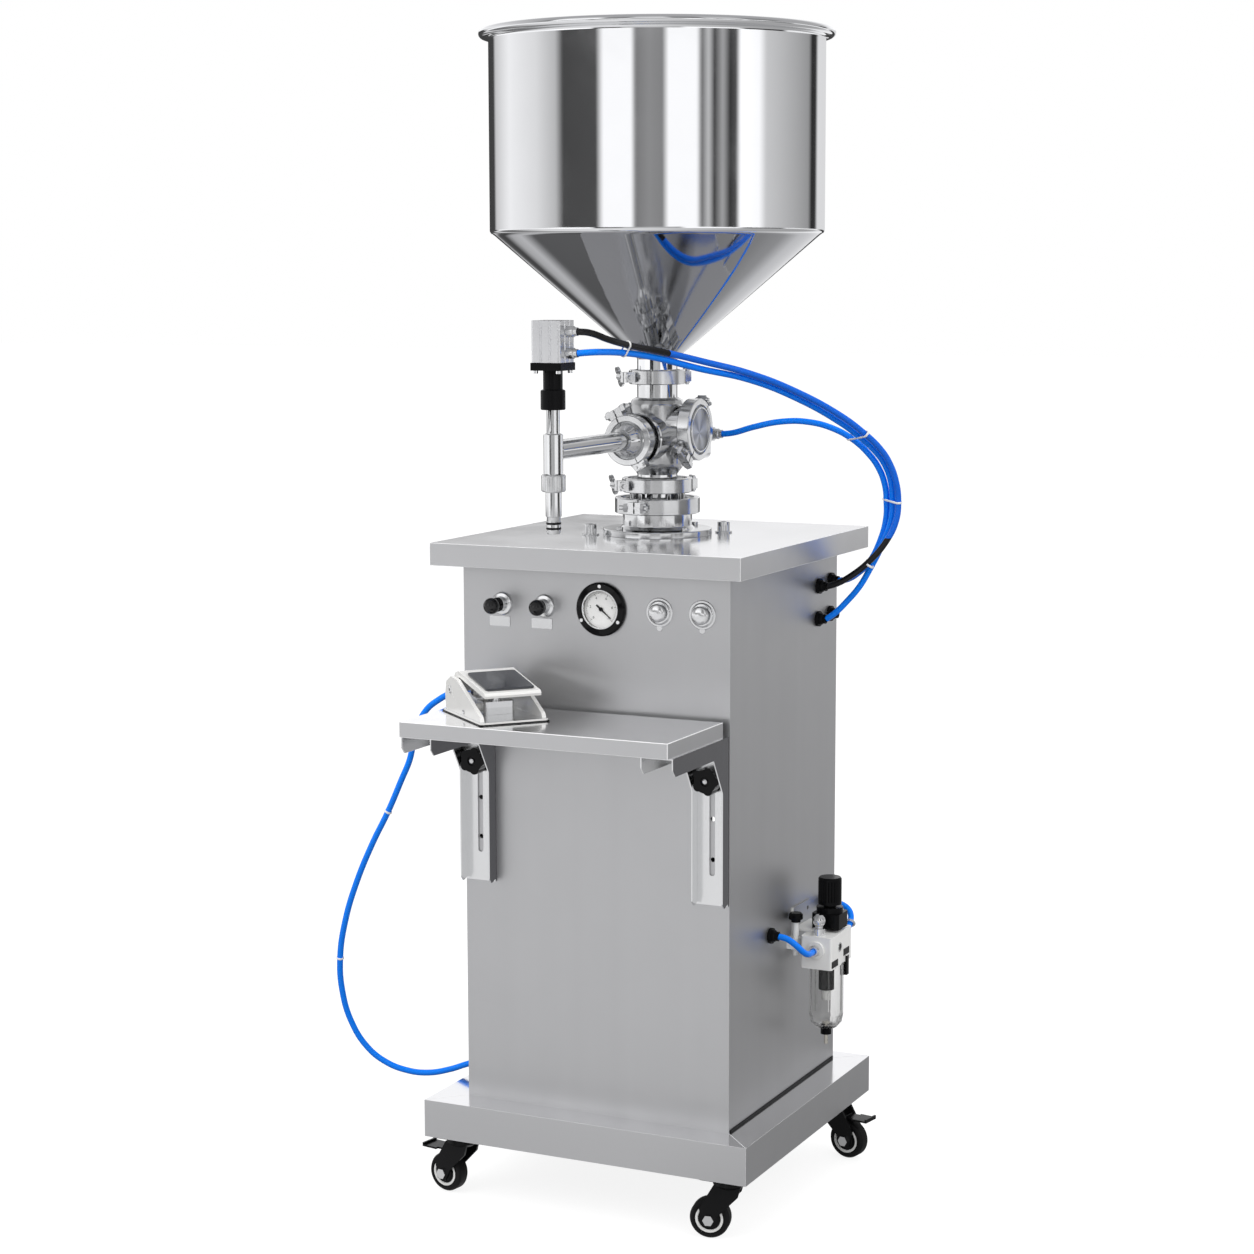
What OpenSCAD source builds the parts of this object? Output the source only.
// Piston paste filling machine on a wheeled cabinet, with a cone hopper, a
// three-way rotary valve, a shut-off nozzle, a height-adjustable shelf and a
// foot pedal. Millimetres, +Z up. The origin is on the floor, in the middle of
// the machine's outline seen from above.

/* [Base tray and casters] */
// Width of the base tray, side to side
base_w = 444; // [430:1:470]
// Depth of the base tray, front to back
base_d = 420; // [410:1:450]
// Height of the tray's folded skirt
base_h = 48; // [40:1:60]
// Height of the tray's underside above the floor
base_clear = 81; // [78:1:90]
// Thickness of the folded stainless sheet
sheet = 2; // [1.5:0.1:2.5]
// Diameter of a caster wheel
wheel_d = 50; // [46:1:52]
// Width of a caster wheel
wheel_w = 20; // [18:1:24]
// Distance from the swivel axis to the wheel's axle
caster_trail = 24; // [20:1:26]
// Distance from the tray's edges to a swivel axis
caster_inset = 36; // [34:1:42]

/* [Cabinet and worktop] */
// Width of the cabinet
cab_w = 362; // [340:1:370]
// Depth of the cabinet
cab_d = 350; // [330:1:356]
// Height of the cabinet, from the tray to the worktop sheet
cab_h = 709; // [690:1:740]
// Thickness of the cabinet's sheet
cab_sheet = 1.5; // [1.2:0.1:2]
// Width of the worktop
top_w = 418; // [410:1:440]
// Depth of the worktop
top_d = 424; // [418:1:440]
// Height of the worktop's folded edge
top_h = 28; // [22:1:34]
// Height of the worktop sheet above the control row
control_drop = 73; // [68:1:80]

/* [Shelf] */
// Width of the shelf plate
shelf_w = 354; // [340:1:370]
// Depth of the shelf plate
shelf_d = 158; // [154:1:170]
// Height of the shelf's folded edge
shelf_h = 19; // [16:1:24]
// Height of the shelf's top above the tray, at its lowest setting
shelf_up = 510; // [500:1:520]
// How far the shelf can be raised
shelf_travel = 50; // [30:1:54]
// Length of the slot in each bracket leg
slot_len = 118; // [104:1:124]
// Width of a shelf bracket
bracket_w = 42; // [38:1:44]
// Depth of a bracket leg's flanges
bracket_fl = 17; // [14:1:18]
// Distance from the machine's middle to a bracket's slot
bracket_x = 159; // [150:1:159]

/* [Product path] */
// Outside radius of the two-inch product tube
tube_r = 25.4; // [24:0.1:26]
// Wall of the product tubes
tube_wall = 1.6; // [1.2:0.1:2]
// Radius of the valve body's upright barrel
body_r = 35; // [33:0.5:37]
// Height of the valve body's upright barrel
body_h = 87; // [84:1:92]
// Radius of the rotor
rotor_r = 24; // [22:0.5:25]
// Outside radius of the outlet pipe
pipe_r = 12; // [11:0.5:12.7]
// Distance from the column to the nozzle
nozzle_reach = 288; // [270:1:300]
// Bore radius of the product barrel
barrel_r = 40; // [36:1:42]
// Stroke of the product piston
stroke = 160; // [120:1:170]

/* [Hopper] */
// Outside radius of the hopper's cylinder
hopper_r = 210; // [190:1:220]
// Height of the hopper's cylinder
hopper_cyl = 244; // [200:1:280]
// Height of the hopper's cone
hopper_cone = 157; // [140:1:180]
// Wall of the hopper
hopper_wall = 1.6; // [1.2:0.1:2]
// Radius of the rolled lip's section
lip_r = 5; // [4:0.5:6]

/* [Air service unit] */
// Radius of the filter bowl
bowl_r = 22; // [19:0.5:23]
// Length of the filter bowl
bowl_h = 84; // [70:1:90]
// Radius of the regulator knob
reg_knob_r = 15; // [13:0.5:16]
// Diameter of the air hoses
hose_d = 8; // [6:1:8]

/* [Hidden] */
$fn = 48;

// Clearances
run = 0.05;
gap = 0.3;

// Heights above the floor
tray_top = base_clear + base_h;
under_top = tray_top + cab_h;
work_z = under_top + sheet;
row_z = under_top - control_drop;

// Places in plan, from the product column's axis
cab_y = -8;
base_y = -16;
top_y = -6;
cab_front = cab_y - cab_d / 2;
cab_back = cab_y + cab_d / 2;
base_back = base_y + base_d / 2;
shelf_gap = 11;
shelf_back = cab_front - shelf_gap;
shelf_front = shelf_back - shelf_d;
hopper_out = hopper_r + 2 * lip_r + 3;
column_y = -(shelf_front + max(base_back, hopper_out)) / 2;

// Column heights, from the worktop up
flange_r = 69.5;
flange_h = 8;
neck_r = 44;
collar_up = 37.5;
reducer_up = 25.5;
valve_down = 67;
valve_up = 69.5;
neck_up = 23.5;
joint_a = work_z + collar_up;
joint_b = joint_a + reducer_up;
valve_z = joint_b + valve_down;
joint_c = valve_z + valve_up;
cone_z = joint_c + neck_up;
cyl_z = cone_z + hopper_cone;
rim_z = cyl_z + hopper_cyl;
outlet_z = valve_z - 6;
branch_z = valve_z + 4;
outlet_y = -82;
cap_x = 52;

// Ferrule and clamp sections
rim_half = 2.5;
taper_half = 6;
taper_in = 6;
clamp_seat = 3.2;
rim_a = neck_r + taper_in;
rim_b = body_r + taper_in;
rim_c = tube_r + taper_in + 0.6;
rim_cap = body_r;
rim_outlet = 27.5;

module at_column() translate([0, column_y, 0]) children();

// A round part turned about Z from its half outline
module turned(points, fn = 64) rotate_extrude($fn = fn) polygon(points);

// A tube along Z
module pipe(r_out, r_in, z0, z1, fn = 64)
    turned([[r_in, z0], [r_out, z0], [r_out, z1], [r_in, z1]], fn);

// A plate in X and Y with rounded corners, standing on z = 0
module round_plate(w, d, h, r)
    linear_extrude(height = h) offset_square(w, d, r);

module offset_square(w, d, r)
    union() {
        square([w - 2 * r, d], center = true);
        square([w, d - 2 * r], center = true);
        for (x = [-1, 1], y = [-1, 1])
            translate([x * (w / 2 - r), y * (d / 2 - r)]) circle(r = r, $fn = 24);
    }

// A folded tray open underneath, with its top at z = 0
module folded_tray(w, d, h, t, lip)
    difference() {
        translate([-w / 2, -d / 2, -h]) cube([w, d, h]);
        translate([-w / 2 + t, -d / 2 + t, -h + t]) cube([w - 2 * t, d - 2 * t, h - 2 * t]);
        translate([-w / 2 + lip, -d / 2 + lip, -h - 1]) cube([w - 2 * lip, d - 2 * lip, h / 2]);
    }

// A hexagon-socket cap screw with its washer, seated on z = 0
module cap_screw(head_r, head_h, washer_r, shank_r, shank_l) {
    difference() {
        union() {
            cylinder(r = washer_r, h = 2);
            translate([0, 0, 2]) cylinder(r = head_r, h = head_h);
            translate([0, 0, -shank_l]) cylinder(r = shank_r, h = shank_l + 1);
        }
        translate([0, 0, 2 + head_h * 0.45]) cylinder(r = head_r * 0.55, h = head_h, $fn = 6);
    }
}

// A two-part pipe clamp about Z, hinged at -X and bolted at +X
module pipe_clamp(rim, h, wing = true) {
    ring_r = rim + 4;
    seat = rim - clamp_seat;
    ear_x = ring_r + 7;
    difference() {
        union() {
            turned([[seat, -h / 2], [ring_r - 1, -h / 2], [ring_r, -h / 2 + 1], [ring_r, h / 2 - 1],
                [ring_r - 1, h / 2], [seat, h / 2]]);
            translate([ring_r - 4, -9, -h * 0.36]) cube([15, 18, h * 0.72]);
            translate([-ring_r - 8, -8, -h * 0.36]) cube([12, 16, h * 0.72]);
        }
        turned([[seat - 1, -taper_half + 1], [seat, -taper_half + 1.4], [rim + gap, -rim_half - gap],
            [rim + gap, rim_half + gap], [seat, taper_half - 1.4], [seat - 1, taper_half - 1]]);
        translate([0, -1, -h]) cube([ring_r * 2, 2, h * 2]);
        translate([-ring_r * 2, -0.5, -h]) cube([ring_r * 2, 1, h * 2]);
        translate([ear_x, 0, 0]) rotate([90, 0, 0]) cylinder(r = 3.1, h = 30, center = true);
        for (y = [-4.5, 4.5])
            translate([-ring_r - 4, y, 0]) cylinder(r = 2.1, h = h * 2, center = true);
    }
    // Hinge link with its two pins
    for (z = [-1, 1])
        translate([-ring_r - 4, 0, z * (h * 0.36 + 1.1)]) rotate([0, 0, 90]) round_plate_mid(15, 6, 2, 2.9);
    for (y = [-4.5, 4.5])
        translate([-ring_r - 4, y, 0]) cylinder(r = 2, h = h * 0.72 + 8, center = true);
    // Bolt through both ears
    translate([ear_x, 0, 0]) rotate([90, 0, 0]) {
        translate([0, 0, -16]) cylinder(r = 3, h = 38);
        translate([0, 0, -13.1]) cylinder(r = 6, h = 4, $fn = 6);
        translate([0, 0, 9.1])
            if (wing) rotate([0, 0, 75]) wing_nut();
            else cylinder(r = 6, h = 6, $fn = 6);
    }
}

module round_plate_mid(w, d, h, r) translate([0, 0, -h / 2]) round_plate(w, d, h, r);

// A wing nut on a bolt along +Z, with an eye through each wing
module wing_nut() {
    hub = 4.8;
    eye_x = 7.8;
    difference() {
        union() {
            cylinder(r = hub, h = 12);
            for (s = [-1, 1])
                translate([s * eye_x, 0, 12]) rotate([90, 0, 0]) rotate([0, 0, s * -28])
                    linear_extrude(height = 3.2, center = true)
                        union() {
                            circle(r = 5.2);
                            translate([-5, -6]) square([7, 8]);
                        }
        }
        for (s = [-1, 1])
            translate([s * eye_x, 0, 12.4]) rotate([90, 0, 0]) cylinder(r = 2.2, h = 10, center = true);
        cylinder(r = 2.9, h = 40, center = true);
    }
}

// Casters: number, swivel place and wheel direction
swivel_x = base_w / 2 - caster_inset;
swivel_front = base_y - base_d / 2 + caster_inset;
swivel_back = base_back - caster_inset;
casters = [
    [-swivel_x, swivel_front, 170], [swivel_x, swivel_front, 192],
    [swivel_x, swivel_back, -10], [-swivel_x, swivel_back, 20]];
plate_t = 2.5;
crown_z = base_clear - plate_t - 9;
axle_z = wheel_d / 2;
leg_in = wheel_w / 2 + 0.8;
leg_t = 3;
axle_r = 4;
king_r = 5;

module at_caster(i)
    at_column() translate([casters[i][0], casters[i][1], 0]) rotate([0, 0, casters[i][2]]) children();

// Base tray with its corner pads
module base_tray() color([0.72, 0.73, 0.74]) at_column() {
    pad = caster_inset + 34;
    difference() {
        union() {
            translate([0, base_y, tray_top]) folded_tray(base_w, base_d, base_h, sheet, 26);
            for (x = [-1, 1], y = [-1, 1])
                translate([x * (base_w / 2 - pad / 2 - sheet / 2), base_y + y * (base_d / 2 - pad / 2 - sheet / 2),
                    base_clear + 1.5]) cube([pad - sheet, pad - sheet, 3], center = true);
        }
        for (c = casters)
            translate([c[0], c[1], base_clear - 1]) cylinder(r = king_r + 3, h = 12);
        for (x = [-1, 1], y = [-1, 1])
            translate([x * (cab_w / 2 - 40), cab_y + y * (cab_d / 2 - 40), tray_top - 5]) cylinder(r = 3.3, h = 10);
    }
}

// Four top plates, bolted under the tray's corners
module caster_plates() color([0.12, 0.12, 0.13])
    for (i = [0 : 3])
        at_caster(i) difference() {
            translate([0, 0, base_clear - plate_t]) rotate([0, 0, -casters[i][2]]) round_plate(62, 62, plate_t, 6);
            translate([0, 0, base_clear - plate_t - 1]) cylinder(r = king_r + run, h = plate_t + 2);
        }

// Forged fork with its swivel race, king pin and axle bolt
module caster_fork(i) color([0.1, 0.1, 0.11]) at_caster(i) {
    race_r = 19;
    turned([[0, crown_z - 4], [race_r - 3, crown_z - 4], [race_r + 2, crown_z], [race_r, crown_z + 8.7],
        [king_r, crown_z + 8.7], [king_r, base_clear + 3], [0, base_clear + 3]], 48);
    for (s = [-1, 1])
        translate([0, s * (leg_in + leg_t / 2), 0]) rotate([90, 0, 0])
            linear_extrude(height = leg_t, center = true)
                polygon([[-16, crown_z], [18, crown_z], [caster_trail + 12, axle_z + 14],
                    [caster_trail + 8, axle_z - 8], [caster_trail - 4, axle_z - 10],
                    [caster_trail - 12, axle_z + 6], [-12, crown_z - 14]]);
    translate([caster_trail, 0, axle_z]) rotate([90, 0, 0]) {
        cylinder(r = axle_r, h = 2 * (leg_in + leg_t) + 8, center = true);
        for (s = [-1, 1])
            translate([0, 0, s * (leg_in + leg_t + 2)]) cylinder(r = 7, h = 4, center = true, $fn = 6);
    }
}

// Solid tyre on its hub, with the groove that separates them
module caster_wheel(i) color([0.08, 0.08, 0.09]) at_caster(i)
    translate([caster_trail, 0, axle_z]) rotate([90, 0, 0]) {
        w = wheel_w / 2;
        r = wheel_d / 2;
        turned([[axle_r + run, -w], [8, -w], [10, -w + 2], [14, -w + 2], [15, -w + 0.6], [17.5, -w + 0.6],
            [18, -w + 1.6], [19.5, -w + 1.6], [20, -w + 0.6], [r - 2, -w + 1], [r, -w + 4], [r, w - 4],
            [r - 2, w - 1], [20, w - 0.6], [19.5, w - 1.6], [18, w - 1.6], [17.5, w - 0.6], [15, w - 0.6],
            [14, w - 2], [10, w - 2], [8, w], [axle_r + run, w]], 64);
    }

// Foot brake lever, pivoted between the fork's legs above the wheel
module brake_pedal(i) color([0.09, 0.09, 0.1]) at_caster(i) {
    px = caster_trail - 2;
    pz = axle_z + wheel_d / 2 + 5.4;
    translate([px, 0, pz]) {
        rotate([90, 0, 0]) cylinder(r = 2.4, h = 2 * (leg_in - 0.2), center = true);
        translate([0, -9, -1]) cube([14, 18, 2.4]);
        translate([13, -13, -1]) cube([22, 26, 2.4]);
        translate([33, -13, -1]) cube([2.4, 26, 5]);
    }
}

// Front and sides in one folded sheet, with inward flanges
stud_pitch = 50;
stud_z = tray_top + shelf_up - 71;
knob_hole_r = 3.3;
gauge_x = 10.6;
gauge_hole_r = 27;
speed_x = [-125.6, -66.8];
button_x = [88.3, 144.8];
bulk_r = 5;
frl_z = tray_top + 188;
bulkheads = [[100, under_top - 67], [98, under_top - 109], [142, under_top - 64], [140, under_top - 107],
    [-55, frl_z + 30], [122, frl_z + 35]];
pedal_bulk = [-106, tray_top + 21];
module cabinet_shell() color([0.74, 0.74, 0.75]) at_column() {
    fold = 16;
    difference() {
        translate([-cab_w / 2, cab_front, tray_top]) cube([cab_w, cab_d - cab_sheet, cab_h]);
        translate([-cab_w / 2 + cab_sheet, cab_front + cab_sheet, tray_top + cab_sheet])
            cube([cab_w - 2 * cab_sheet, cab_d - 3 * cab_sheet, cab_h - 2 * cab_sheet]);
        translate([-cab_w / 2 + fold, cab_front + fold, tray_top - 1])
            cube([cab_w - 2 * fold, cab_d, cab_h + 2]);
        translate([gauge_x, cab_front - 1, row_z]) rotate([-90, 0, 0]) cylinder(r = gauge_hole_r + gap, h = 5);
        for (x = speed_x)
            translate([x, cab_front - 1, row_z]) rotate([-90, 0, 0]) cylinder(r = 6 + gap, h = 5);
        for (x = button_x)
            translate([x, cab_front - 1, row_z]) rotate([-90, 0, 0]) cylinder(r = 11 + gap, h = 5);
        for (s = [-1, 1], k = [0 : 2])
            translate([s * bracket_x, cab_front - 1, stud_z - k * stud_pitch]) rotate([-90, 0, 0])
                cylinder(r = 3 + run, h = 5);
        for (b = bulkheads)
            translate([cab_w / 2 - 4, b[0], b[1]]) rotate([0, 90, 0]) cylinder(r = bulk_r + gap, h = 6);
        translate([-cab_w / 2 - 2, pedal_bulk[0], pedal_bulk[1]]) rotate([0, 90, 0])
            cylinder(r = bulk_r + gap, h = 6);
        for (x = [-1, 1], z = [-1, 0, 1])
            translate([x * (cab_w / 2 - 9), cab_back - 8, tray_top + cab_h / 2 + z * (cab_h / 2 - 14)])
                rotate([-90, 0, 0]) cylinder(r = 2.6, h = 10);
    }
}

// Screwed rear cover
module rear_panel() color([0.7, 0.7, 0.71]) at_column()
    translate([0, cab_back - cab_sheet, tray_top + cab_h / 2]) rotate([-90, 0, 0])
        difference() {
            round_plate(cab_w - 3, cab_h - 4, cab_sheet, 3);
            for (x = [-1, 1], y = [-1, 0, 1])
                translate([x * (cab_w / 2 - 9), y * (cab_h / 2 - 14), -1]) cylinder(r = 2.6, h = 5);
            for (k = [0 : 7])
                translate([-42 + k * 12, 60, -1]) round_plate(5, 60, 4, 2.4);
        }

// Folded worktop with the hole that the collar stands over
bolt_r = 86;
bolt_angles = [35, 125, 215];
screw_r = 59;
module worktop() color([0.8, 0.8, 0.81]) at_column()
    difference() {
        translate([0, top_y, work_z]) folded_tray(top_w, top_d, top_h, sheet, 14);
        translate([0, 0, work_z - 4]) cylinder(r = tube_r + 2, h = 8);
        for (a = bolt_angles)
            rotate([0, 0, a]) translate([bolt_r, 0, work_z - 4]) cylinder(r = 4.2, h = 8);
    }

// Worktop bolts, flange screws and rear panel screws
module fixing_screws() color([0.8, 0.8, 0.82]) at_column() {
    for (a = bolt_angles)
        rotate([0, 0, a]) translate([bolt_r, 0, work_z]) cap_screw(8, 12, 11, 4, 14);
    for (a = [61, 151, 241, 331])
        rotate([0, 0, a]) translate([screw_r, 0, work_z + flange_h]) cylinder(r = 4.5, h = 4);
    for (x = [-1, 1], z = [-1, 0, 1])
        translate([x * (cab_w / 2 - 9), cab_back, tray_top + cab_h / 2 + z * (cab_h / 2 - 14)])
            rotate([-90, 0, 0]) {
                cylinder(r = 4.5, h = 2);
                translate([0, 0, -5]) cylinder(r = 2.4, h = 6);
            }
}

// Flanged collar that carries the column on the worktop
module base_collar() color([0.78, 0.78, 0.8]) at_column()
    turned([[tube_r, work_z], [flange_r, work_z], [flange_r, work_z + flange_h - 1],
        [flange_r - 1, work_z + flange_h], [neck_r + 4, work_z + flange_h], [neck_r, work_z + flange_h + 4],
        [neck_r, joint_a - taper_half], [rim_a, joint_a - rim_half], [rim_a, joint_a], [tube_r, joint_a]], 96);

module neck_reducer() color([0.79, 0.79, 0.81]) at_column()
    turned([[tube_r - tube_wall, joint_a], [rim_a, joint_a], [rim_a, joint_a + rim_half],
        [rim_a - taper_in, joint_a + taper_half], [body_r, joint_a + taper_half + 1], [body_r, joint_b - taper_half],
        [rim_b, joint_b - rim_half], [rim_b, joint_b], [tube_r - tube_wall, joint_b]], 96);

// Cross-shaped body: upright barrel, side branch to the blank cap, front outlet
module valve_body() color([0.75, 0.75, 0.77]) at_column() {
    bore = tube_r - tube_wall;
    low = valve_z - body_h / 2;
    high = valve_z + body_h / 2;
    difference() {
        union() {
            turned([[0, joint_b], [rim_b, joint_b], [rim_b, joint_b + rim_half], [body_r, joint_b + taper_half],
                [tube_r, joint_b + taper_half], [tube_r, low - 10], [tube_r + 8, low], [body_r - 2, low + 1],
                [body_r, low + 5], [body_r, high - 9], [body_r - 3, high - 3], [body_r - 8, high],
                [tube_r, high], [tube_r, joint_c - taper_half], [rim_c - taper_in, joint_c - taper_half],
                [rim_c, joint_c - rim_half], [rim_c, joint_c], [0, joint_c]], 96);
            translate([0, 0, branch_z]) rotate([0, 90, 0]) {
                turned([[0, -cap_x + 4], [31, -cap_x + 4], [31, -cap_x + 9], [28, -cap_x + 10],
                    [28, cap_x - taper_half - 6], [rim_cap - taper_in, cap_x - taper_half],
                    [rim_cap, cap_x - rim_half], [rim_cap, cap_x], [0, cap_x]], 96);
            }
            translate([0, 0, outlet_z]) rotate([90, 0, 0])
                turned([[0, -52], [30, -52], [30, 50], [27, 53], [24, 56], [24, 60], [33, 61], [33, 66], [22, 66],
                    [rim_outlet - taper_in, -outlet_y - taper_half], [rim_outlet, -outlet_y - rim_half],
                    [rim_outlet, -outlet_y], [0, -outlet_y]], 96);
        }
        translate([0, 0, joint_b - 1]) cylinder(r = bore - 4, h = joint_c - joint_b + 2, $fn = 64);
        translate([0, 0, outlet_z]) rotate([90, 0, 0]) {
            cylinder(r = pipe_r - tube_wall, h = -outlet_y + 1);
            translate([0, 0, -53]) cylinder(r = rotor_r + run, h = 53 + 44, $fn = 96);
        }
        translate([22, 0, branch_z]) rotate([0, 90, 0]) cylinder(r = 24, h = cap_x);
    }
}

// Quarter-turn rotor: a side passage from hopper to barrel, and an elbow that
// turns round to join the barrel to the front outlet
module valve_rotor() color([0.82, 0.82, 0.84]) at_column()
    translate([0, 0, outlet_z]) rotate([90, 0, 0]) difference() {
        union() {
            translate([0, 0, -44]) cylinder(r = rotor_r, h = 87, $fn = 96);
            translate([0, 0, -act_y - 42]) cylinder(r = 8, h = act_y);
        }
        translate([-rotor_r + 1, 0, 0]) rotate([90, 0, 0]) cylinder(r = 11, h = 80, center = true);
        translate([0, 0, -9]) cylinder(r = pipe_r - tube_wall, h = 60);
        rotate([0, 90, 0]) cylinder(r = 9, h = 40);
    }

// Rotary air actuator bolted behind the valve
act_y = 52;
module valve_actuator() color([0.62, 0.63, 0.65]) at_column()
    translate([0, act_y, outlet_z]) rotate([-90, 0, 0]) difference() {
        union() {
            cylinder(r = 34, h = 7);
            translate([0, 0, 7]) round_plate(66, 66, 34, 8);
            translate([0, 0, 41]) cylinder(r = 26, h = 6);
            translate([33, 0, 24]) rotate([0, 90, 0]) cylinder(r = 9, h = 12);
        }
        translate([0, 0, -1]) cylinder(r = 8 + run, h = 44);
    }

// Blank cap on the side branch
module end_cap() color([0.7, 0.7, 0.72]) at_column()
    translate([cap_x, 0, branch_z]) rotate([0, 90, 0])
        turned([[0, 0], [rim_cap, 0], [rim_cap, rim_half], [rim_cap - taper_in, taper_half],
            [rim_cap - taper_in, 8.4], [rim_cap - 7, 9.4], [rim_cap - 8.4, 9.4], [rim_cap - 8.8, 6.4],
            [0, 6.4]], 96);

clamp_turn = 230;
module pipe_clamps() color([0.76, 0.76, 0.78]) at_column() {
    translate([0, 0, joint_a]) rotate([0, 0, 268]) pipe_clamp(rim_a, 20, false);
    translate([0, 0, joint_b]) rotate([0, 0, clamp_turn]) pipe_clamp(rim_b, 18);
    translate([0, 0, joint_c]) rotate([0, 0, clamp_turn]) pipe_clamp(rim_c, 18);
    translate([0, outlet_y, outlet_z]) rotate([90, 0, 0]) rotate([0, 0, 118]) pipe_clamp(rim_outlet, 15, false);
    translate([cap_x, 0, branch_z]) rotate([0, 90, 0]) rotate([0, 0, -38]) pipe_clamp(rim_cap, 16);
}

// Outlet pipe welded into the nozzle's tee
tee_r = 11.5;
rod_r = 7.8;
tip_z = work_z + 26;
nz = [tip_z, tip_z + 20, tip_z + 50, tip_z + 71, tip_z + 117, tip_z + 146, tip_z + 169, tip_z + 192,
    tip_z + 201, tip_z + 250];
plunger_r = 4;
module outlet_pipe() color([0.77, 0.77, 0.79]) at_column() {
    difference() {
        union() {
            translate([0, 0, outlet_z]) rotate([90, 0, 0]) {
                turned([[pipe_r - tube_wall, -outlet_y], [rim_outlet, -outlet_y], [rim_outlet, -outlet_y + rim_half],
                    [rim_outlet - taper_in, -outlet_y + taper_half], [20, -outlet_y + 12], [pipe_r + 2, -outlet_y + 20],
                    [pipe_r, -outlet_y + 22], [pipe_r, nozzle_reach - 4], [pipe_r - tube_wall, nozzle_reach - 4]],
                    64);
            }
            translate([0, -nozzle_reach, 0]) turned([[0, nz[3] - 8], [9, nz[3] - 8], [9, nz[3]], [tee_r, nz[3]],
                [tee_r, nz[4]], [tee_r - 2, nz[4] + 1], [rod_r, nz[4] + 1], [rod_r, nz[5]], [0, nz[5]]], 64);
        }
        translate([0, -nozzle_reach, nz[3] - 10]) cylinder(r = 7.5, h = nz[4] - nz[3]);
        translate([0, -nozzle_reach, nz[4] - 12]) cylinder(r = plunger_r + run, h = 60);
        translate([0, -nozzle_reach + tee_r / 2, outlet_z]) rotate([-90, 0, 0])
            cylinder(r = pipe_r - tube_wall, h = 60);
    }
}

module nozzle_nut() color([0.8, 0.8, 0.82]) at_column() translate([0, -nozzle_reach, 0])
    difference() {
        union() {
            turned([[9.1, nz[2]], [13.5, nz[2]], [14.5, nz[2] + 1.5], [14.5, nz[3] - 2.5], [13.5, nz[3] - 1],
                [9.1, nz[3] - 1]], 64);
        }
        for (k = [0 : 23])
            rotate([0, 0, k * 15]) translate([14.7, 0, nz[2] + 3]) cylinder(r = 0.7, h = nz[3] - nz[2] - 7, $fn = 4);
    }

module nozzle_tip() color([0.8, 0.8, 0.82]) at_column() translate([0, -nozzle_reach, 0])
    turned([[6, nz[0]], [7.6, nz[0]], [8.3, nz[0] + 2], [8.3, nz[0] + 5], [7.6, nz[0] + 5], [7.6, nz[0] + 8],
        [8.3, nz[0] + 8], [8.3, nz[0] + 11], [7.6, nz[0] + 11], [7.6, nz[0] + 14], [8.3, nz[0] + 14], [8.3, nz[1]],
        [9.5, nz[1] + 1], [9.5, nz[2] - 1], [8.8, nz[2]], [8.8, nz[3] - 9], [7, nz[3] - 9], [7, nz[0] + 12],
        [6, nz[0] + 9]], 64);

module nozzle_cylinder() color([0.8, 0.81, 0.82]) at_column() translate([0, -nozzle_reach, 0])
    difference() {
        translate([0, 0, nz[8]]) round_plate(38, 38, nz[9] - nz[8], 3);
        translate([0, 0, nz[8] - 1]) cylinder(r = plunger_r + 4 + run, h = 34);
        for (a = [0 : 90 : 270], s = [-1, 1])
            rotate([0, 0, a]) translate([19.4, s * 6, nz[8] - 1]) cylinder(r = 1.6, h = 60, $fn = 16);
    }

module nozzle_mount() color([0.08, 0.08, 0.09]) at_column() translate([0, -nozzle_reach, 0])
    difference() {
        union() {
            translate([0, 0, nz[7]]) round_plate(40, 40, nz[8] - nz[7], 2);
            turned([[0, nz[5]], [14, nz[5]], [14.6, nz[5] + 1], [14.6, nz[6] - 1], [14, nz[6]], [11.5, nz[6] + 1],
                [11.5, nz[7] + 1], [0, nz[7] + 1]], 64);
            for (x = [-15, 15], y = [-15, 15])
                translate([x, y, nz[7] - 3.5]) cylinder(r = 3, h = 4, $fn = 24);
        }
        translate([0, 0, nz[5] - 1]) cylinder(r = plunger_r + run, h = 80);
        translate([0, 0, nz[7] - 3]) cylinder(r = 9, h = 20);
    }

// Shut-off plunger: its tip plugs the nozzle, its piston lies in the air cylinder
plunger_travel = 12;
module nozzle_plunger() color([0.83, 0.83, 0.85]) at_column() translate([0, -nozzle_reach, 0]) {
    turned([[0, nz[0] + 9.4], [5.2, nz[0] + 9.4], [6.6, nz[0] + 12.4], [6.6, nz[0] + 20], [plunger_r, nz[0] + 26],
        [plunger_r, nz[8] + 3], [plunger_r + 4, nz[8] + 3], [plunger_r + 4, nz[8] + 17], [0, nz[8] + 17]], 64);
}

// Thin spun bowl: cylinder, cone and a rolled lip, with its neck ferrule
module hopper() color([0.82, 0.82, 0.84]) at_column() {
    t = hopper_wall;
    neck = tube_r - tube_wall;
    turned([[neck, joint_c], [rim_c, joint_c], [rim_c, joint_c + rim_half], [rim_c - taper_in, joint_c + taper_half],
        [tube_r, joint_c + taper_half], [tube_r, cone_z], [hopper_r - 3, cyl_z - 2], [hopper_r, cyl_z + 3],
        [hopper_r, rim_z], [hopper_r + lip_r, rim_z + 1], [hopper_r + lip_r, rim_z + 3], [hopper_r - t, rim_z + 3],
        [hopper_r - t, cyl_z + 3], [hopper_r - t - 3, cyl_z - 1], [neck, cone_z + 1]], 128);
    translate([0, 0, rim_z]) rotate_extrude($fn = 128) translate([hopper_r + lip_r + 3, 0])
        difference() {
            circle(r = lip_r, $fn = 24);
            circle(r = lip_r - t, $fn = 24);
            translate([-3 * lip_r, -2 * lip_r]) square([3 * lip_r, 2 * lip_r]);
        }
}

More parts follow.
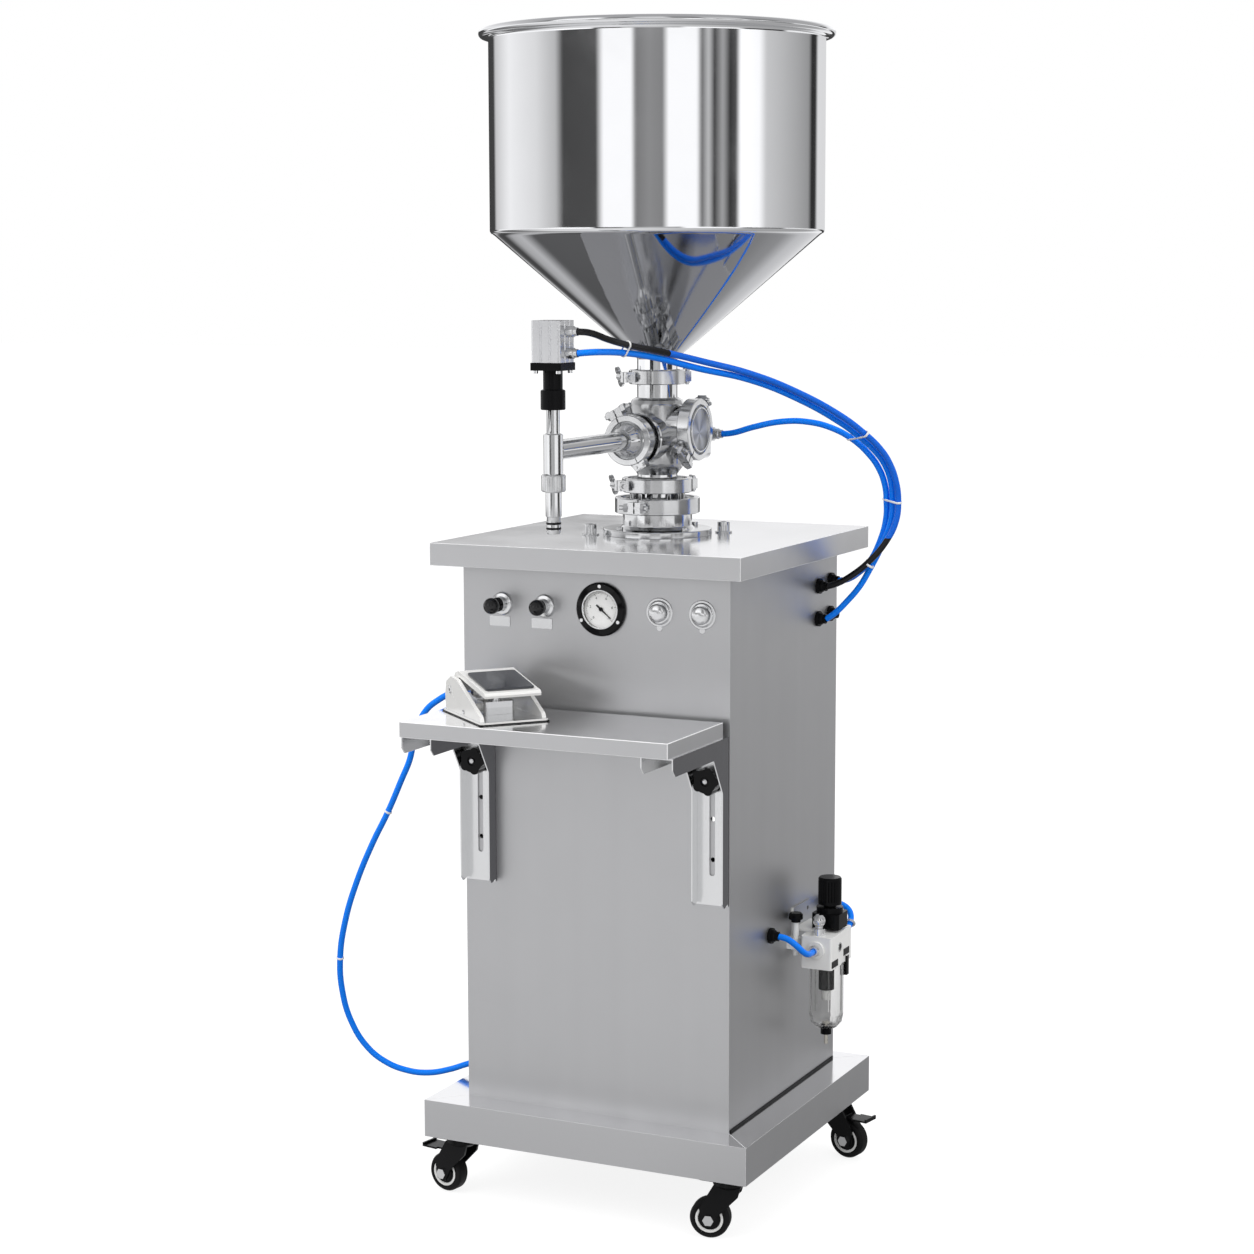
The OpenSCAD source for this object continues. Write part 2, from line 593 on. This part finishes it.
// Product barrel under the worktop, with its head and tie rods
barrel_len = stroke + 70;
barrel_low = under_top - 16 - barrel_len;
cyl_len = stroke + 47;
cyl_low = barrel_low - 14 - cyl_len;
drive_r = 45;
rod_d = 22;
module product_barrel() color([0.78, 0.79, 0.8]) at_column() {
    difference() {
        union() {
            translate([0, 0, under_top - 16]) cylinder(r = 98, h = 16, $fn = 96);
            pipe(barrel_r + 5, barrel_r, barrel_low, under_top - 15, 96);
        }
        translate([0, 0, under_top - 20]) cylinder(r = tube_r - tube_wall, h = 30);
        for (a = bolt_angles)
            rotate([0, 0, a]) translate([bolt_r, 0, under_top - 13]) cylinder(r = 4 + run, h = 20);
    }
    for (a = [45 : 90 : 315])
        rotate([0, 0, a]) translate([64, 0, barrel_low - 14]) cylinder(r = 6, h = barrel_len + 14);
}

module drive_cylinder() color([0.72, 0.74, 0.76]) at_column()
    difference() {
        union() {
            translate([0, 0, barrel_low - 14 - 18]) round_plate(118, 118, 18, 8);
            pipe(drive_r + 4, drive_r, cyl_low + 16, barrel_low - 31, 96);
            translate([0, 0, cyl_low]) round_plate(118, 118, 16, 8);
            for (x = [-1, 1], y = [-1, 1])
                translate([x * 50, y * 50, cyl_low + 15]) cylinder(r = 5, h = cyl_len - 32);
        }
        translate([0, 0, barrel_low - 40]) cylinder(r = rod_d / 2 + run, h = 40);
    }

module product_piston() color([0.6, 0.6, 0.62]) at_column()
    turned([[0, cyl_low + 16.3], [drive_r - run, cyl_low + 16.3], [drive_r - run, cyl_low + 28],
        [rod_d / 2, cyl_low + 28], [rod_d / 2, barrel_low + 2], [barrel_r - run, barrel_low + 2],
        [barrel_r - run, barrel_low + 8], [barrel_r - 2, barrel_low + 9], [barrel_r - 2, barrel_low + 12],
        [barrel_r - run, barrel_low + 13], [barrel_r - run, barrel_low + 24], [0, barrel_low + 28]], 96);

// Gauge: black flanged case with its dial, and the glass over it
bezel_r = 33;
dial_r = 22;
module gauge_case() color([0.06, 0.06, 0.07]) at_column()
    translate([gauge_x, cab_front, row_z]) rotate([90, 0, 0]) {
        turned([[0, -30], [gauge_hole_r, -30], [gauge_hole_r, 0], [bezel_r, 0], [bezel_r, 3], [bezel_r - 2, 5],
            [dial_r + 3, 6], [dial_r + 1, 3.6], [dial_r + 1, 1], [0, 1]], 96);
        for (a = [90, 210, 330])
            rotate([0, 0, a]) translate([dial_r + 6.5, 0, 5]) cylinder(r = 2.2, h = 1.6);
        cylinder(r = 1.5, h = 3.4);
    }

module gauge_glass() color([0.9, 0.95, 1, 0.4]) at_column()
    translate([gauge_x, cab_front - 3.7, row_z]) rotate([90, 0, 0]) cylinder(r = dial_r + 0.7, h = 1.4, $fn = 96);

needle_at = 40;
module gauge_needle() color([0.05, 0.05, 0.06]) at_column()
    translate([gauge_x, cab_front - 1.9, row_z]) rotate([90, 0, 0]) rotate([0, 0, -needle_at])
        difference() {
            union() {
                cylinder(r = 2.6, h = 0.9);
                linear_extrude(height = 0.6) polygon([[-8, -1], [-8, 1], [0, 1.2], [17, 0.3], [17, -0.3], [0, -1.2]]);
            }
            translate([0, 0, -1]) cylinder(r = 1.5 + run, h = 3);
        }

// Bezels of the speed knobs and the push buttons
module panel_bezels() color([0.85, 0.85, 0.87]) at_column() {
    for (x = speed_x)
        translate([x, cab_front, row_z]) rotate([90, 0, 0])
            turned([[4 + run, -22], [6, -22], [6, 0], [14.5, 0], [14.5, 1.6], [13, 4], [9, 5], [8.5, 12],
                [7.5, 13], [4 + run, 13]], 64);
    for (x = button_x)
        translate([x, cab_front, row_z]) rotate([90, 0, 0])
            turned([[9 + run, -18], [11, -18], [11, 0], [15, 0], [15, 1.2], [13.6, 2.8], [11.6, 3.4],
                [9 + run, 3.4]], 64);
}

module speed_knob(x, reach) color([0.05, 0.05, 0.06]) at_column()
    translate([x, cab_front, row_z]) rotate([90, 0, 0])
        turned([[0, -16], [4, -16], [4, 14], [9, 14.2], [10, 16], [10, reach - 12], [10.4, reach - 7],
            [8.6, reach - 2.4], [5, reach - 0.6], [0, reach]], 48);

module push_button(x) color([0.86, 0.86, 0.88]) at_column()
    translate([x, cab_front, row_z]) rotate([90, 0, 0])
        turned([[0, -8], [9, -8], [9, 6], [8, 8.4], [5, 9.8], [0, 10.4]], 64);

// Shelf: folded plate on two bent channel brackets
shelf_z = tray_top + shelf_up;
module shelf_plate() color([0.78, 0.78, 0.79]) at_column()
    translate([0, (shelf_front + shelf_back) / 2, shelf_z]) folded_tray(shelf_w, shelf_d, shelf_h, cab_sheet, 12);

arm_z = shelf_z - shelf_h;
arm_h = 22;
arm_front = shelf_front + 9;
slot_low = stud_z + 2 - slot_len;
leg_low = slot_low - 40;
leg_t2 = 2;
leg_face = cab_front - 0.3;
slot_w = 7;
module shelf_brackets() color([0.78, 0.78, 0.79]) at_column()
    for (s = [-1, 1])
        translate([s * bracket_x, 0, 0]) {
            w = bracket_w / 2;
            // Web against the cabinet, with its slot
            difference() {
                translate([-w, leg_face - leg_t2, leg_low]) cube([2 * w, leg_t2, arm_z - leg_low]);
                translate([0, leg_face + 1, 0]) rotate([90, 0, 0]) linear_extrude(height = 5)
                    union() {
                        translate([-slot_w / 2, slot_low]) square([slot_w, slot_len]);
                        for (z = [slot_low, slot_low + slot_len])
                            translate([0, z]) circle(r = slot_w / 2);
                    }
            }
            // Leg flanges, deeper at the top where they run into the arm
            for (f = [-1, 1])
                translate([f * (w - leg_t2 / 2), 0, 0]) rotate([90, 0, 90])
                    linear_extrude(height = leg_t2, center = true)
                        polygon([[leg_face, leg_low + 4], [leg_face - bracket_fl + 5, leg_low],
                            [leg_face - bracket_fl, leg_low + 6], [leg_face - bracket_fl, arm_z - 66],
                            [leg_face - 44, arm_z - arm_h], [arm_front + 7, arm_z - arm_h],
                            [arm_front, arm_z - arm_h + 8], [arm_front, arm_z], [leg_face, arm_z]]);
            // Top of the arm under the shelf
            translate([-w, arm_front, arm_z - leg_t2]) cube([2 * w, leg_face - arm_front, leg_t2]);
        }

// Five-lobed clamping knob on a stud through the slot
module clamp_knob(s) color([0.05, 0.05, 0.06]) at_column()
    translate([s * bracket_x, leg_face - leg_t2 - gap, stud_z]) rotate([90, 0, 0]) {
        difference() {
            union() {
                cylinder(r = 8.5, h = 7);
                translate([0, 0, 5]) linear_extrude(height = 17)
                    union() {
                        circle(r = 14.6);
                        for (a = [0 : 72 : 288])
                            rotate([0, 0, a]) translate([11.6, 0]) circle(r = 6, $fn = 32);
                    }
            }
            translate([0, 0, 20]) cylinder(r = 5.6, h = 5);
        }
        translate([0, 0, -leg_t2 - 12]) cylinder(r = 3, h = 16);
    }

// Foot pedal, standing on the shelf
pedal_turn = -40;
pedal_l = 128;
pedal_w = 88;
pedal_toe = [-43, -308];
hinge_back = -114;
hinge_z = 30;
inlet_z = 21;
treadle_angle = 10;
module at_pedal() at_column() translate([pedal_toe[0], pedal_toe[1], shelf_z]) rotate([0, 0, pedal_turn]) children();

module pedal_base() color([0.88, 0.87, 0.82]) at_pedal() {
    w = pedal_w / 2;
    difference() {
        union() {
            translate([-pedal_l / 2, 0, 0]) round_plate(pedal_l, pedal_w, 4, 5);
            for (s = [-1, 1])
                translate([0, s * (w - 4.5), 0]) rotate([90, 0, 0]) linear_extrude(height = 5, center = true)
                    polygon([[-4, 3], [-8, 10], [-84, 44], [-104, 46], [-120, 38], [-124, 22], [-122, 3]]);
        }
        translate([hinge_back + 8, 0, hinge_z]) rotate([90, 0, 0]) cylinder(r = 4 + run, h = 100, center = true);
    }
    // Valve block under the treadle
    translate([-64, 0, 4]) round_plate(30, 40, 16, 4);
    translate([-64, 0, 19]) cylinder(r = 7, h = 13);
    translate([-64, 0, 31]) cylinder(r = 4, h = 2.5);
    translate([-64, -15, 12]) rotate([90, 0, 0]) cylinder(r = 5, h = 12);
    translate([-120, 0, inlet_z]) rotate([0, 90, 0]) cylinder(r = 4, h = 44);
    translate([-118, 0, inlet_z]) rotate([0, -90, 0]) push_in(7.4, 14);
}

module pedal_treadle() color([0.9, 0.89, 0.84]) at_pedal() {
    w = pedal_w / 2 - 8;
    px = hinge_back + 8;
    translate([px, 0, hinge_z]) {
        rotate([90, 0, 0]) cylinder(r = 4, h = pedal_w - 1, center = true);
        rotate([0, treadle_angle, 0]) {
            rotate([90, 0, 0]) linear_extrude(height = 2 * w, center = true)
                polygon([[-8, 2], [-7, 12], [-2, 20], [8, 25], [96, 25], [99, 22], [99, 19], [92, 19], [12, 18],
                    [6, 10], [5, 2]]);
        }
    }
}

module pedal_pad() color([0.2, 0.2, 0.21]) at_pedal()
    translate([hinge_back + 8, 0, hinge_z]) rotate([0, treadle_angle, 0])
        translate([57, 0, 25]) round_plate(66, 62, 3, 4);

// Filter and regulator on the cabinet's right side
frl_x = cab_w / 2 + 42;
frl_y = 32;
knob_y = 42;
body_half = 21;
module filter_bracket() color([0.9, 0.9, 0.9]) at_column() {
    difference() {
        translate([cab_w / 2, 16, frl_z - 6]) cube([3, 56, 56]);
        for (y = [24, 64])
            translate([cab_w / 2 - 1, y, frl_z + 40]) rotate([0, 90, 0]) cylinder(r = 2.8, h = 6);
    }
    translate([cab_w / 2, 16, frl_z + body_half + 0.2]) cube([42, 56, 2.6]);
    translate([cab_w / 2 + 10, 6, frl_z + body_half + 14]) {
        turned([[0, 0], [6, 0], [6, 3], [9, 4], [9, 10], [7, 12], [0, 12]], 24);
    }
    translate([cab_w / 2 + 10, 6, frl_z - 8]) cylinder(r = 4, h = body_half + 22);
    translate([cab_w / 2, 0, frl_z]) cube([14, 17, 14]);
}

module filter_body() color([0.92, 0.92, 0.91]) at_column() {
    difference() {
        union() {
            translate([frl_x, 14, frl_z - body_half]) round_plate(2 * body_half, 38, 2 * body_half, 3);
            translate([frl_x, 50, frl_z - body_half]) round_plate(38, 44, 2 * body_half, 4);
            translate([frl_x, -5, frl_z + 4]) rotate([90, 0, 0]) cylinder(r = 11, h = 3);
        }
        translate([frl_x, 0, frl_z + 4]) rotate([90, 0, 0]) cylinder(r = 6 + gap, h = 60, center = true);
        translate([frl_x, 72, frl_z + 4]) rotate([90, 0, 0]) cylinder(r = 6 + gap, h = 30, center = true);
    }
    // Vent neck with its ball cap
    translate([frl_x, 6, frl_z + body_half]) turned([[0, 0], [8, 0], [8, 9], [5, 10], [5, 12], [7.4, 15], [8.4, 19],
        [7.4, 23], [4, 26.6], [0, 27.4]], 48);
    // Regulator bonnet and its collar
    translate([frl_x, knob_y, frl_z + body_half + 2.9]) {
        round_plate(37, 37, 20, 5);
        translate([0, 0, 20]) cylinder(r = 17, h = 7);
        translate([0, 0, 27]) cylinder(r = 8, h = 3);
    }
    // Filter element hanging into the bowl
    translate([frl_x, frl_y, frl_z - body_half - 34]) cylinder(r = 10, h = 34.5);
    // Release catch at the bowl's side
    translate([frl_x + 15.4, frl_y + 16, frl_z - body_half - 18]) cube([6, 8, 26]);
}

module filter_bowl() color([0.85, 0.88, 0.9, 0.5]) at_column()
    translate([frl_x, frl_y, frl_z - body_half]) {
        turned([[bowl_r - 3, 0], [bowl_r, 0], [bowl_r, -bowl_h + 18], [bowl_r - 2, -bowl_h + 8],
            [bowl_r - 8, -bowl_h + 1], [7, -bowl_h], [7, -bowl_h - 9], [2.6, -bowl_h - 9], [2.6, -bowl_h + 3],
            [6.4, -bowl_h + 3], [bowl_r - 9, -bowl_h + 5], [bowl_r - 5, -bowl_h + 10], [bowl_r - 3, -bowl_h + 19]], 64);
    }

module drain_pin() color([0.75, 0.72, 0.6]) at_column()
    translate([frl_x, frl_y, frl_z - body_half - bowl_h]) {
        translate([0, 0, -22]) cylinder(r = 2.5, h = 26);
        translate([0, 0, 3.2]) cylinder(r = 5, h = 3);
    }

module regulator_knob() color([0.05, 0.05, 0.06]) at_column()
    translate([frl_x, knob_y, frl_z + body_half + 33.2]) difference() {
        union() {
            turned([[8, 0], [reg_knob_r, 0], [reg_knob_r, 33], [reg_knob_r - 1.5, 35], [0, 35], [0, 3], [8, 3]], 64);
        }
        for (k = [0 : 23])
            rotate([0, 0, k * 15]) translate([reg_knob_r + 0.4, 0, 4]) cylinder(r = 1, h = 27, $fn = 4);
    }

// Bulkheads through the sheet, and push-in ends on the machine
module push_in(r = 7, l = 14) {
    turned([[hose_d / 2 + gap, 0], [r, 0], [r, l - 5], [r - 1.4, l - 4], [r - 1.4, l], [hose_d / 2 + gap, l]], 32);
    cylinder(r = hose_d / 2 + gap + 0.1, h = 2);
}
module tube_fittings() color([0.12, 0.12, 0.13]) at_column() {
    for (b = bulkheads)
        translate([cab_w / 2, b[0], b[1]]) rotate([0, 90, 0]) {
            cylinder(r = 10, h = 4);
            translate([0, 0, 4]) push_in(7.4, 8);
            translate([0, 0, -cab_sheet - 14]) cylinder(r = bulk_r, h = cab_sheet + 14);
        }
    translate([-cab_w / 2, pedal_bulk[0], pedal_bulk[1]]) rotate([0, -90, 0]) {
        cylinder(r = 10, h = 4);
        translate([0, 0, 4]) push_in(7.4, 8);
        translate([0, 0, -cab_sheet - 14]) cylinder(r = bulk_r, h = cab_sheet + 14);
    }
    for (z = [nz[8] + 11, nz[8] + 36])
        translate([19, -nozzle_reach, z]) rotate([0, 90, 0]) push_in(6.4, 14);
    translate([45, act_y + 24, outlet_z]) rotate([0, 90, 0]) push_in(7, 12);
    translate([frl_x, -8, frl_z + 4]) rotate([90, 0, 0]) push_in(7.4, 8);
    translate([frl_x, 72, frl_z + 4]) rotate([-90, 0, 0]) push_in(7.4, 12);
}

// Hose routes: places chosen along each hose, from the column's axis
nozzle_route = [[33, -288, 1078], [44, -287, 1079], [52, -264, 1079], [60, -224, 1077], [75, -168, 1070],
    [106, -107, 1055], [149, -52, 1040], [190, 4, 1015], [227, 50, 985], [245, 70, 967], [262, 88, 946],
    [271, 99, 928], [276, 107, 906], [276, 112, 884], [273, 116, 858], [262, 117, 828], [246, 113, 794],
    [234, 109, 772], [218, 105, 752], [204, 100, 737], [193, 98, 729]];
dark_route = [[33, -288, 1103], [46, -286, 1102], [58, -262, 1094], [66, -222, 1086], [82, -165, 1077],
    [113, -105, 1063], [153, -60, 1048], [193, -6, 1024], [233, 41, 993], [253, 62, 973], [270, 81, 951],
    [279, 92, 932], [285, 100, 908], [286, 106, 884], [283, 107, 858], [271, 105, 832], [250, 101, 806],
    [227, 99, 787], [206, 99, 775], [193, 100, 771]];
valve_route = [[57, 76, 964], [72, 76, 966], [100, 76, 974], [140, 77, 982], [175, 79, 982], [205, 82, 975],
    [232, 86, 961], [250, 92, 944], [261, 100, 926], [267, 108, 904], [267, 115, 882], [264, 122, 858],
    [255, 126, 830], [240, 130, 803], [222, 136, 786], [204, 141, 776], [193, 142, 774]];
pedal_route = [[-144, -223, 660], [-155, -214, 660], [-168, -208, 658], [-184, -207, 653], [-203, -209, 643], [-222, -211, 627],
    [-236, -213, 598], [-243, -215, 565], [-254, -218, 538], [-274, -218, 496], [-298, -216, 454],
    [-327, -210, 398], [-350, -202, 343], [-365, -192, 290], [-370, -180, 242], [-365, -167, 198],
    [-350, -154, 163], [-330, -142, 142], [-304, -130, 130], [-278, -119, 127], [-250, -111, 133],
    [-224, -107, 143], [-205, -106, 149], [-193, -106, 150]];
front_route = [[193, -55, 347], [203, -54, 345], [214, -52, 338], [221, -44, 328], [223, -32, 322],
    [223, -22, 321], [223, -16, 321]];
rear_route = [[223, 84, 321], [223, 96, 322], [224, 112, 330], [220, 122, 342], [210, 123, 350],
    [200, 122, 352], [193, 122, 352]];

function unit(v) = v / norm(v);
function heading(p, i) = unit(p[min(i + 1, len(p) - 1)] - p[max(i - 1, 0)]);
// Side direction carried along the route, so that the tube doesn't twist
function carried(p, i) = i == 0
    ? unit(cross(heading(p, 0), [0.1, 0.2, 1]))
    : let (before = carried(p, i - 1), h = heading(p, i)) unit(before - h * (before * h));
module hose(route, sides = 10) {
    p = route;
    n = len(p);
    rings = [for (i = [0 : n - 1]) let (s = carried(p, i), u = cross(heading(p, i), s))
        for (k = [0 : sides - 1]) p[i] + hose_d / 2 * (cos(360 * k / sides) * s + sin(360 * k / sides) * u)];
    polyhedron(
        points = rings,
        faces = concat(
            [[for (k = [0 : sides - 1]) k]],
            [[for (k = [0 : sides - 1]) (n - 1) * sides + sides - 1 - k]],
            [for (i = [0 : n - 2], k = [0 : sides - 1]) [i * sides + k, (i + 1) * sides + k,
                (i + 1) * sides + (k + 1) % sides]],
            [for (i = [0 : n - 2], k = [0 : sides - 1]) [i * sides + k, (i + 1) * sides + (k + 1) % sides,
                i * sides + (k + 1) % sides]]));
}

module blue_hose(route) color([0.05, 0.4, 0.95]) at_column() hose(route);

base_tray();
caster_plates();
cabinet_shell();
rear_panel();
worktop();
fixing_screws();
base_collar();
neck_reducer();
valve_body();
valve_actuator();
valve_rotor();
end_cap();
pipe_clamps();
outlet_pipe();
nozzle_tip();
nozzle_nut();
nozzle_cylinder();
nozzle_mount();
nozzle_plunger();
hopper();
product_barrel();
drive_cylinder();
product_piston();
gauge_case();
gauge_glass();
gauge_needle();
panel_bezels();
speed_knob(speed_x[0], 40);  // speed_knob_left
speed_knob(speed_x[1], 32);  // speed_knob_right
push_button(button_x[0]);  // start_button
push_button(button_x[1]);  // stop_button
shelf_plate();
shelf_brackets();
clamp_knob(-1);  // clamp_knob_left
clamp_knob(1);  // clamp_knob_right
pedal_base();
pedal_treadle();
pedal_pad();
filter_bracket();
filter_body();
filter_bowl();
regulator_knob();
drain_pin();
tube_fittings();
caster_fork(0);  // caster_fork_1
caster_fork(1);  // caster_fork_2
caster_fork(2);  // caster_fork_3
caster_fork(3);  // caster_fork_4
caster_wheel(0);  // caster_wheel_1
caster_wheel(1);  // caster_wheel_2
caster_wheel(2);  // caster_wheel_3
caster_wheel(3);  // caster_wheel_4
brake_pedal(0);  // brake_pedal_1
brake_pedal(2);  // brake_pedal_3
blue_hose(nozzle_route);  // nozzle_hose
color([0.03, 0.06, 0.15]) at_column() hose(dark_route);  // nozzle_hose_dark
blue_hose(valve_route);  // valve_hose
blue_hose(pedal_route);  // pedal_hose
blue_hose(front_route);  // filter_hose_front
blue_hose(rear_route);  // filter_hose_rear
